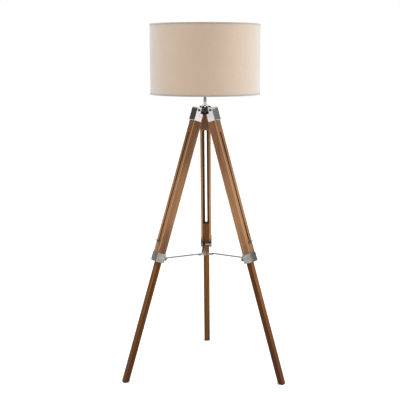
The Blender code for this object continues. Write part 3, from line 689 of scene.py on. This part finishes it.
def collar(n, place, body):
    half_w = UPPER_W / 2 + GAP
    back, front = BACK - GAP, FRONT + GAP
    end = back - LUG_REACH
    lug_out = LUG_S + SHEET
    band_out = half_w + SHEET
    half = [(LUG_S, end), (lug_out, end), (lug_out, back - SHEET), (band_out, back - SHEET),
            (band_out, front + SHEET)]
    inner = [(LUG_S, back), (half_w, back), (half_w, front)]
    outline = half + [(-s, o) for s, o in reversed(half)]
    outline += [(-s, o) for s, o in inner] + inner[::-1]
    outline = rounded(outline, 0.0011, 4)
    a, b = COLLAR_T - COLLAR_H / 2, COLLAR_T + COLLAR_H / 2
    top, bottom = COLLAR_T - LUG_H / 2, COLLAR_T + LUG_H / 2
    # the lugs are cut free of the band above and below, and their ends rounded
    aside = 0.05
    cuts = []
    for p, q in ((a - 0.02, top), (bottom, b + 0.02)):
        cuts.append((box((-aside, end - 0.01, p), (aside, back - SHEET - 0.0008, q)), "DIFFERENCE"))
    for edge_t, sign in ((top, 1), (bottom, -1)):
        corner = arc((end + LUG_H / 2, COLLAR_T), LUG_H / 2, 180, 180 + 90 * sign, 12)
        corner += [(end - 0.01, edge_t - 0.002 * sign), (end - 0.01, COLLAR_T)]
        cuts.append((along_x(corner, -aside, aside), "DIFFERENCE"))
    cuts.append((along_x(circle(PIN_AT, PIN_BORE, 32), -THROUGH, THROUGH), "DIFFERENCE"))
    band = along_z(outline, a, b)
    # the back leg's collar takes the darker copy of the satin nickel: painted shade
    look = SATIN_PAINTED_SHADE if n == "1" else SATIN
    leg_piece(n, "collar", "band", band, look, body, place, "satin_steel", cuts, bevel=0.0004)
    inner_x = lug_out + GAP
    nut_r, dome_r, dome_x = 0.0045, 0.0040, inner_x + 0.0056
    nut = [(PIN_R, inner_x), (nut_r, inner_x), (nut_r, inner_x + 0.0044), (dome_r, inner_x + 0.0052)]
    for angle in (10, 30, 50, 70):
        turn = math.radians(angle)
        nut.append((dome_r * math.cos(turn), dome_x + (PIN_END - inner_x - 0.0056) * math.sin(turn)))
    nut.append((0.0, PIN_END))
    bolt = turned(nut + [(r, -h) for r, h in reversed(nut)], 32, PIN_AT, "X")
    flat_r, flat_half, flat_deep = 0.0039, 0.005, 0.004
    flats = []
    for sign in (1, -1):
        x = sorted((sign * (inner_x - 0.0002), sign * (inner_x + 0.0046)))
        for k in range(6):
            turn = math.radians(60 * k)
            out = Vector((math.cos(turn), math.sin(turn)))
            across = Vector((-out.y, out.x)) * flat_half
            mid = Vector(PIN_AT) + out * flat_r
            deep = out * flat_deep
            quad = [mid - across, mid + across, mid + across + deep, mid - across + deep]
            flats.append((along_x([tuple(v) for v in quad], x[0], x[1]), "DIFFERENCE"))
    leg_piece(n, "strap_bolt", "turned", bolt, SATIN, body, place, "satin_steel", flats, bevel=0.00012,
              segments=1)
    x0, x1 = GAP - LUG_S, STRAP_SIDE - GAP
    tube = rounded([(PIN_BORE, x0), (nut_r, x0), (nut_r, x1), (PIN_BORE, x1)], 0.0004, 3)
    sleeve = turned(tube, 40, PIN_AT, "X")
    leg_piece(n, "strap_sleeve", "turned", sleeve, SATIN, body, place, "satin_steel", sharp=50)


# where the collar's bolt is, from the lamp's axis and from the floor
STRAP_PIN_R = PIVOT_R + COLLAR_T * math.sin(TILT) + PIN_O * math.cos(TILT)
STRAP_PIN_Z = PIVOT_Z - COLLAR_T * math.cos(TILT) + PIN_O * math.sin(TILT)


def strap(n, upright, body):
    pin = (STRAP_PIN_R, STRAP_PIN_Z)
    hub = (STRAP_HUB_R, STRAP_PIN_Z)
    meet = math.degrees(math.asin((EYE_R - STRAP_BAR) / EYE_R))
    outline = arc(pin, EYE_R, 180 - meet, 450, 40) + arc(hub, EYE_R, 90, 360 + meet, 40)
    cuts = [(along_x(circle(eye, PIN_BORE, 32), -0.03, 0.0), "DIFFERENCE") for eye in (pin, hub)]
    far = -STRAP_SIDE - STRAP_W
    bar = along_x(outline, far, -STRAP_SIDE)
    leg_piece(n, "strap", "rolled", bar, STRAP, body, upright, "satin_steel", cuts, bevel=0.0004)
    head = far - GAP
    tail = GAP / 2 - STRAP_SIDE
    rivet = [(0.0, tail), (0.0022, tail), (PIN_R, -STRAP_SIDE - 0.0003), (PIN_R, head), (0.0040, head),
             (0.0039, head - 0.0004), (0.0032, head - 0.0009), (0.0018, head - 0.0012), (0.0, head - 0.0012)]
    shape = turned(rivet, 32, hub, "X")
    leg_piece(n, "strap_rivet", "domed", shape, SATIN, body, upright, "satin_steel", sharp=50)


for n, azimuth in LEGS.items():
    leg = leg_frame(azimuth)
    upper_leg(n, leg, f"leg_{n}")
    cap(n, leg, f"leg_{n}")
    collar(n, leg, f"leg_{n}")
    lower_leg(n, leg, f"lower_{n}")
    clamp(n, leg, f"lower_{n}", f"wing_{n}")
    strap(n, side_frame(azimuth), f"strap_{n}")


# ---------------------------------------------------------------- spreader hub and head
def spreader_hub():
    z = STRAP_PIN_Z
    tip = STRAP_HUB_R + 0.0034 - EAR_HALF
    ear = [(0.0, z - EAR_HALF)] + arc((tip, z), EAR_HALF, -90, 90, 20) + [(0.0, z + EAR_HALF)]
    ears = []
    for azimuth in LEGS.values():
        shape = along_x(ear, GAP - STRAP_SIDE, GAP - STRAP_SIDE + EAR_THICK)
        shape.transform(about_axis(azimuth))
        ears.append((shape, "UNION"))
    half = [(0.0, POST_HALF), (0.0029, POST_HALF), (0.0036, 0.0077), (0.0039, 0.0070)]
    profile = [(r, z - h) for r, h in half] + [(r, z + h) for r, h in reversed(half)]
    post = turned(profile, 40)
    nodes = ["spreader_hub"]
    piece("spreader_hub_cast", post, SATIN, "spreader", nodes, "satin_steel", LAMP, ears, bevel=0.0004)


def head():
    low_z, high_z = PIVOT_Z - HEAD_LOW, PIVOT_Z + HEAD_HIGH
    core = [(0.0, low_z), (0.0145, low_z), (0.0156, low_z + 0.0004), (0.016, low_z + 0.0015),
            (0.016, high_z - 0.0015), (0.0156, high_z - 0.0004), (0.0145, high_z), (0.0, high_z)]
    half_w = UPPER_W / 2 - 2 * GAP
    corner = half_w / math.sin(math.radians(60))
    # the three lugs in one loft, each with a round end
    rings = []
    levels = 24
    for step in range(levels + 1):
        lean = math.radians(-90 + 180 / levels * step)
        reach = PIVOT_R + LUG_TIP_R * math.cos(lean)
        plan = [(-half_w, reach), (half_w, reach), (corner * math.sin(math.pi / 3), corner / 2)]
        ring = [Vector((*point, PIVOT_Z + LUG_TIP_R * math.sin(lean))) for point in plan]
        rings.append([about_axis(azimuth) @ point for azimuth in (330, 210, 90) for point in ring])
    cuts = [(loft(rings), "UNION")]
    for azimuth in LEGS.values():
        hole = along_x(circle((PIVOT_R, PIVOT_Z), PIVOT_BORE, 32), -UPPER_W, UPPER_W)
        hole.transform(about_axis(azimuth))
        cuts.append((hole, "DIFFERENCE"))
    seat = low_z + GLAND_H + GAP
    bore = [(0.0, low_z - 0.002), (GLAND_R + GAP, low_z - 0.002), (GLAND_R + GAP, seat), (TUBE_BORE, seat),
            (TUBE_BORE, high_z + 0.002), (0.0, high_z + 0.002)]
    cuts.append((turned(bore, 48), "DIFFERENCE"))
    head_piece("head_hub", "cast", turned(core, 64), BLACK, "black_steel", cuts, bevel=0.0006)
    low, inner = seat + GAP, TUBE_R - TUBE_WALL
    tube = rounded([(inner, low), (TUBE_R, low), (TUBE_R, TUBE_HIGH_Z), (inner, TUBE_HIGH_Z)], 0.0004, 3)
    head_piece("stem_tube", "drawn", turned(tube, 48), STEM, "chrome", sharp=50)
    top = NUT_Z + NUT_H
    nut = [(TUBE_BORE, NUT_Z), (NUT_R - 0.0012, NUT_Z), (NUT_R - 0.0003, NUT_Z + 0.0005),
           (NUT_R, NUT_Z + 0.0015), (NUT_R, NUT_Z + 0.0052), (NUT_R - 0.0005, NUT_Z + 0.0056),
           (NUT_R - 0.0005, NUT_Z + 0.0066),
           (NUT_R, NUT_Z + 0.0070), (NUT_R, top - 0.0022), (NUT_R - 0.0008, top - 0.0008),
           (NUT_R - 0.0024, top), (TUBE_BORE, top)]
    head_piece("stem_nut", "turned", turned(nut, 72), NICKEL, "chrome", sharp=50)
    rim = low_z - GAP
    gland = [(inner, rim - 0.0008), (0.0054, rim - 0.0012), (0.0102, rim - 0.0012), (0.0106, rim - 0.0010),
             (0.0108, rim - 0.0006), (0.0108, rim), (GLAND_R, rim), (GLAND_R, low_z + GLAND_H - 0.0004),
             (GLAND_R - 0.0004, low_z + GLAND_H), (inner, low_z + GLAND_H)]
    head_piece("cable_gland", "turned", turned(gland, 48), RUBBER, "rubber", sharp=50)


def lampholder():
    r = HOLDER_R
    flange_r = 0.024
    z = HOLDER_Z
    shell = [(TUBE_BORE, z), (0.0125, z), (0.0137, z + 0.0006), (0.0185, z + 0.0084), (r, z + 0.0096),
             (r, FLANGE_Z - 0.0006), (0.0196, FLANGE_Z), (flange_r - 0.0005, FLANGE_Z),
             (flange_r, FLANGE_Z + 0.0005), (flange_r, FLANGE_Z + 0.0025), (flange_r - 0.0005, FLANGE_TOP_Z),
             (r, FLANGE_TOP_Z)]
    # the thread for the shade's ring
    depth, pitch = 0.0006, 0.0040
    z = FLANGE_Z + 0.0145
    while z < HOLDER_TOP_Z - pitch:
        shell += [(r, z), (r - depth, z + 0.0007), (r - depth, z + 0.0014), (r, z + 0.0021)]
        z += pitch
    z = HOLDER_TOP_Z
    bore = 0.017
    shell += [(r, z - 0.0005), (r - 0.0004, z), (bore + 0.0004, z), (bore, z - 0.0004),
              (bore, HOLDER_FLOOR_Z), (TUBE_BORE, HOLDER_FLOOR_Z)]
    head_piece("lampholder_shell", "moulded", turned(shell, 72), BAKELITE, "phenolic", sharp=40)
    z0 = HOLDER_FLOOR_Z + GAP
    insert_h = 0.006
    contact_h = 0.0078
    insert = [(0.0, 0.0), (0.0167, 0.0), (0.0167, 0.0056), (0.0163, insert_h), (0.0110, insert_h),
              (0.0106, 0.0052), (0.0064, 0.0052), (0.0060, insert_h), (0.0030, insert_h), (0.0026, 0.0076),
              (0.0, contact_h)]
    shape = turned([(q, z0 + h) for q, h in insert], 48)
    head_piece("lampholder_insert", "glazed", shape, CERAMIC, "ceramic", sharp=40)
    shade_ring(FLANGE_TOP_Z + FITTER_H + 2 * GAP)
    bulb_base(z0 + contact_h + GAP)
    bulb_glass()


def shade_ring(z):
    """The ring that clamps the shade's fitter, knurled round its outside."""
    inner, outer = HOLDER_R + GAP, 0.0245
    knurls, depth = 36, 0.0005
    ring = [(inner, z), (0.0240, z), (outer, z + 0.0005), (outer, z + 0.0012), (outer, z + 0.0066),
            (0.0240, z + 0.0077), (0.0235, z + 0.0082), (inner, z + 0.0082)]
    shape = turned(ring, 144)
    for v in shape.verts:
        radius = math.hypot(v.co.x, v.co.y)
        if radius > 0.0242 and z + 0.0008 < v.co.z < z + 0.0074:
            cut = depth * max(0.0, math.cos(knurls * math.atan2(v.co.y, v.co.x)))
            v.co.x *= 1 - cut / radius
            v.co.y *= 1 - cut / radius
    head_piece("shade_ring", "knurled", shape, BAKELITE, "phenolic", sharp=40)


def bulb_base(low):
    crest, root, pitch = 0.0131, 0.0122, 0.0031
    base = [(0.0, low), (0.0036, low), (0.0044, low + 0.0010), (0.0046, low + 0.0015), (0.0095, low + 0.0030),
            (0.0116, low + 0.0044)]
    z = low + 0.0050
    while z < BULB_Z - 0.0050:
        base += [(root, z), (crest, z + 0.0009), (crest, z + 0.0014), (root, z + 0.0023)]
        z += pitch
    base += [(0.0126, BULB_Z - 0.0030), (crest, BULB_Z - 0.0022), (crest, BULB_Z - GAP), (0.0, BULB_Z - GAP)]
    head_piece("bulb_base", "rolled", turned(base, 48), BRASS, "brass", sharp=50)


def bulb_glass():
    neck_r, flare_r, thick = 0.0137, 0.0150, 0.001
    neck = BULB_SHOULDER_Z
    flare = math.acos(flare_r / BULB_R)
    flare_h = BULB_CENTRE_Z - BULB_R * math.sin(flare) - neck
    outer = [(neck_r - 0.0002, BULB_Z), (neck_r - 0.0001, neck - 0.010), (neck_r, neck)]
    outer += [(neck_r + (flare_r - neck_r) * t * t, neck + flare_h * t) for t in (0.35, 0.7)]
    outer += arc((0.0, BULB_CENTRE_Z), BULB_R, -math.degrees(flare), 90, 28)
    outer[-1] = (0.0, outer[-1][1])
    inner = []
    for q, h in reversed(outer):
        lower = thick * max(0.0, (h - BULB_CENTRE_Z) / BULB_R) if h >= neck + 0.01 else 0.0
        inner.append((max(0.0, q - thick), h - lower))
    head_piece("bulb_glass", "blown", turned(outer + inner, 64), OPAL, "opal_glass", sharp=60)


def shade():
    spider_and_wires()
    drum_skin()
    drum_tapes()


def spider_and_wires():
    low = FLANGE_TOP_Z + GAP
    inner, outer = 0.0193, 0.027
    fitter = [(inner, low), (outer, low), (outer, low + FITTER_H), (inner, low + FITTER_H)]
    fitter = rounded(fitter, 0.0006, 3)
    low_z = SHADE_Z + TAPE + GAP + WIRE_R + WIRE_OFF
    high_z = SHADE_TOP_Z - TAPE - GAP - WIRE_R - WIRE_OFF
    wires = [(turned(circle((WIRE_RING_R, low_z), WIRE_R, 16), 180), "UNION")]
    a, b = Vector((0.0, 0.0258, low + FITTER_H / 2)), Vector((0.0, WIRE_RING_R, low_z))
    side = Vector((1.0, 0.0, 0.0))
    up = side.cross(b - a).normalized()
    for azimuth in LEGS.values():
        arm = loft([[p + side * x + up * y for x, y in circle((0.0, 0.0), ARM_R, 16)] for p in (a, b)])
        arm.transform(about_axis(azimuth))
        wires.append((arm, "UNION"))
    head_piece("shade_spider", "wire", turned(fitter, 96), WHITE_WIRE, "white_wire", wires, sharp=45)
    top = turned(circle((WIRE_RING_R, high_z), WIRE_R, 16), 180)
    piece("shade_top_wire", top, WHITE_WIRE, "head", ["shade_top_ring"], "white_wire", sharp=60)


def drum_skin():
    outer_r, inner_r = SHADE_R - 0.0008, SHADE_R - 0.0018
    z0, z1 = SHADE_Z + 0.0008, SHADE_TOP_Z - 0.0008
    seam = math.radians(90.0)
    rows, steps = 24, 240
    shape = bmesh.new()

    def outside_r(angle):
        """The cloth is one thickness lower away from the seam's overlap."""
        off = abs((angle - seam + math.pi) % (2 * math.pi) - math.pi) * SHADE_R
        return outer_r if off < OVERLAP / 2 else outer_r - LAP_STEP

    def row(radius, z):
        return [shape.verts.new((radius(t) * math.cos(t), radius(t) * math.sin(t), z)) for t in columns]

    columns = [2 * math.pi * i / steps for i in range(steps)]
    columns += [seam + sign * (OVERLAP / 2 + d) / SHADE_R for sign in (1, -1) for d in (-0.0001, 0.0001)]
    columns = sorted(a % (2 * math.pi) for a in columns)
    outside, inside = [], []
    for k in range(rows + 1):
        z = z0 + (z1 - z0) * k / rows
        outside.append(row(outside_r, z))
        inside.append(row(lambda angle: inner_r, z))
    count = len(columns)
    for k in range(rows):
        for i in range(count):
            j = (i + 1) % count
            shape.faces.new((outside[k][i], outside[k][j], outside[k + 1][j], outside[k + 1][i]))
            shape.faces.new((inside[k][j], inside[k][i], inside[k + 1][i], inside[k + 1][j]))
    for i in range(count):
        j = (i + 1) % count
        shape.faces.new((outside[0][j], outside[0][i], inside[0][i], inside[0][j]))
        shape.faces.new((outside[-1][i], outside[-1][j], inside[-1][j], inside[-1][i]))
    drum = head_piece("shade_skin", "linen", shape, SHADE_CLOTH, "fabric", sharp=50)


def drum_tapes():
    """Tape folded over each edge: (radius, height from the edge)."""
    lip = SHADE_R - 0.0018 - GAP
    width, fold = 0.0060, 0.0006
    fold_r = SHADE_R - TAPE
    profile = [(lip - 0.0004, 0.0003), (lip, 0.0), (SHADE_R - 0.0003, 0.0), (SHADE_R, 0.0004),
               (SHADE_R, 0.0056), (SHADE_R - 0.0002, width), (fold_r, width), (fold_r, fold), (lip, fold),
               (lip, width), (lip - 0.0004, width)]
    for name, edge, turn in (("shade_trim_bottom", SHADE_Z, 1), ("shade_trim_top", SHADE_TOP_Z, -1)):
        tape = turned([(r, edge + turn * h) for r, h in profile], 240)
        head_piece(name, "tape", tape, TRIM_CLOTH, "trim_tape", sharp=50)


spreader_hub()
head()
lampholder()
shade()


# ---------------------------------------------------------------- floor, light and camera
FLOOR_R = 14.0
FLOOR_LOW, FLOOR_HIGH = (0.86, 0.86, 0.86), (0.88, 0.88, 0.88)
# (angle round from the front as a share of half a turn, brightness)
STUDIO = [(0.0, 0.07), (0.22, 0.09), (0.29, 0.84), (0.33, 0.88), (0.43, 0.88), (0.52, 0.08), (0.80, 0.06),
          (0.90, 0.90)]
OVERHEAD = 1.45
STUDIO_TINT, OVERHEAD_TINT = (0.98, 0.985, 1.0), (1.0, 0.975, 0.95)
# the camera that was fitted to the photograph: its place from the lamp's axis, and its aim in degrees
CAMERA_AT, CAMERA_YAW, CAMERA_PITCH = (0.111, -3.639, 1.3262), 2.07, 9.32
FOCAL_PIXELS, PHOTO_PIXELS, SENSOR_MM = 885.08, 400, 36.0
LIGHT_AIM, LIGHT_SIZE = (0.0, 0.0, 0.9), (1.4, 1.8)


def floor():
    shape = bmesh.new()
    bmesh.ops.create_circle(shape, cap_ends=True, segments=96, radius=FLOOR_R)
    obj = mesh_object("studio_floor", shape)
    made, tree, shader, where = start("floor_pale")
    wide = noise(tree, where, 0.8, 2.0, 0.5)
    tree.links.new(ramp(tree, wide, [(0.3, FLOOR_LOW), (0.7, FLOOR_HIGH)]), shader.inputs["Base Color"])
    shader.inputs["Roughness"].default_value = 0.75
    shader.inputs["Specular IOR Level"].default_value = 0.1
    shader.inputs["Emission Color"].default_value = (1.0, 1.0, 1.0, 1.0)
    shader.inputs["Emission Strength"].default_value = 0.2
    obj.data.materials.append(made)


def world():
    """White to the camera, and to all else a studio with softboxes and dark sides."""
    made = bpy.data.worlds.new("studio")
    bpy.context.scene.world = made
    made.use_nodes = True
    tree = made.node_tree
    tree.nodes.clear()
    where = tree.nodes.new("ShaderNodeTexCoord").outputs["Generated"]
    x, y, z = put(tree, "ShaderNodeSeparateXYZ", {0: where}).outputs
    # by angle round from the front: dark behind the camera, softboxes beside it, dark flanks, white behind
    turn = maths(tree, "ARCTAN2", x, times(tree, y, -1.0))
    angle = maths(tree, "DIVIDE", maths(tree, "ABSOLUTE", turn), math.pi)
    round_it = ramp(tree, angle, [(at, (v, v, v)) for at, v in STUDIO])
    level = times(tree, round_it, smooth_range(tree, x, -0.3, 0.3, 0.76, 1.0))
    # the dark flanks are lighter low on the left and high on the right
    flank = times(tree, smooth_range(tree, angle, 0.50, 0.56), smooth_range(tree, angle, 0.86, 0.78))
    height = smooth_range(tree, z, 0.08, 0.15)
    low_left = times(tree, smooth_range(tree, x, -0.3, -0.6), minus(tree, 0.50, times(tree, height, 0.50)))
    high_right = times(tree, smooth_range(tree, x, 0.3, 0.6), times(tree, height, 0.13))
    level = plus(tree, level, times(tree, flank, plus(tree, low_left, high_right)))
    overhead = smooth_range(tree, z, 0.30, 0.62)
    around = times(tree, level, minus(tree, 1.0, overhead))
    level = plus(tree, around, times(tree, overhead, OVERHEAD))
    tint = mix_colour(tree, overhead, STUDIO_TINT, OVERHEAD_TINT)
    studio = put(tree, "ShaderNodeBackground", {"Color": tint, "Strength": level})
    seen = put(tree, "ShaderNodeBackground", {"Color": (1.0, 1.0, 1.0, 1.0), "Strength": 1.0})
    ray = tree.nodes.new("ShaderNodeLightPath").outputs["Is Camera Ray"]
    both = put(tree, "ShaderNodeMixShader", {0: ray, 1: studio.outputs[0], 2: seen.outputs[0]})
    out = tree.nodes.new("ShaderNodeOutputWorld")
    tree.links.new(both.outputs[0], out.inputs[0])


def area(name, place, power, colour):
    data = bpy.data.lights.new(name, "AREA")
    data.shape = "RECTANGLE"
    data.size, data.size_y = LIGHT_SIZE
    data.energy, data.color = power, colour
    obj = bpy.data.objects.new(name, data)
    bpy.context.scene.collection.objects.link(obj)
    obj.location = place
    obj.rotation_euler = (Vector(LIGHT_AIM) - Vector(place)).to_track_quat("-Z", "Y").to_euler()


def camera():
    data = bpy.data.cameras.new("camera")
    obj = bpy.data.objects.new("camera", data)
    bpy.context.scene.collection.objects.link(obj)
    data.sensor_width = SENSOR_MM
    data.lens = FOCAL_PIXELS / PHOTO_PIXELS * SENSOR_MM
    obj.location = AXIS + Vector(CAMERA_AT)
    obj.rotation_euler = (math.pi / 2 - math.radians(CAMERA_PITCH), 0.0, math.radians(CAMERA_YAW))
    bpy.context.scene.camera = obj


floor()
world()
area("key_right", (3.0, -0.15, 2.1), 60.0, (0.88, 0.95, 1.0))
area("fill_left", (-3.0, -0.8, 2.1), 24.0, (0.92, 0.94, 1.0))
camera()
bpy.context.scene.view_settings.view_transform = "Standard"
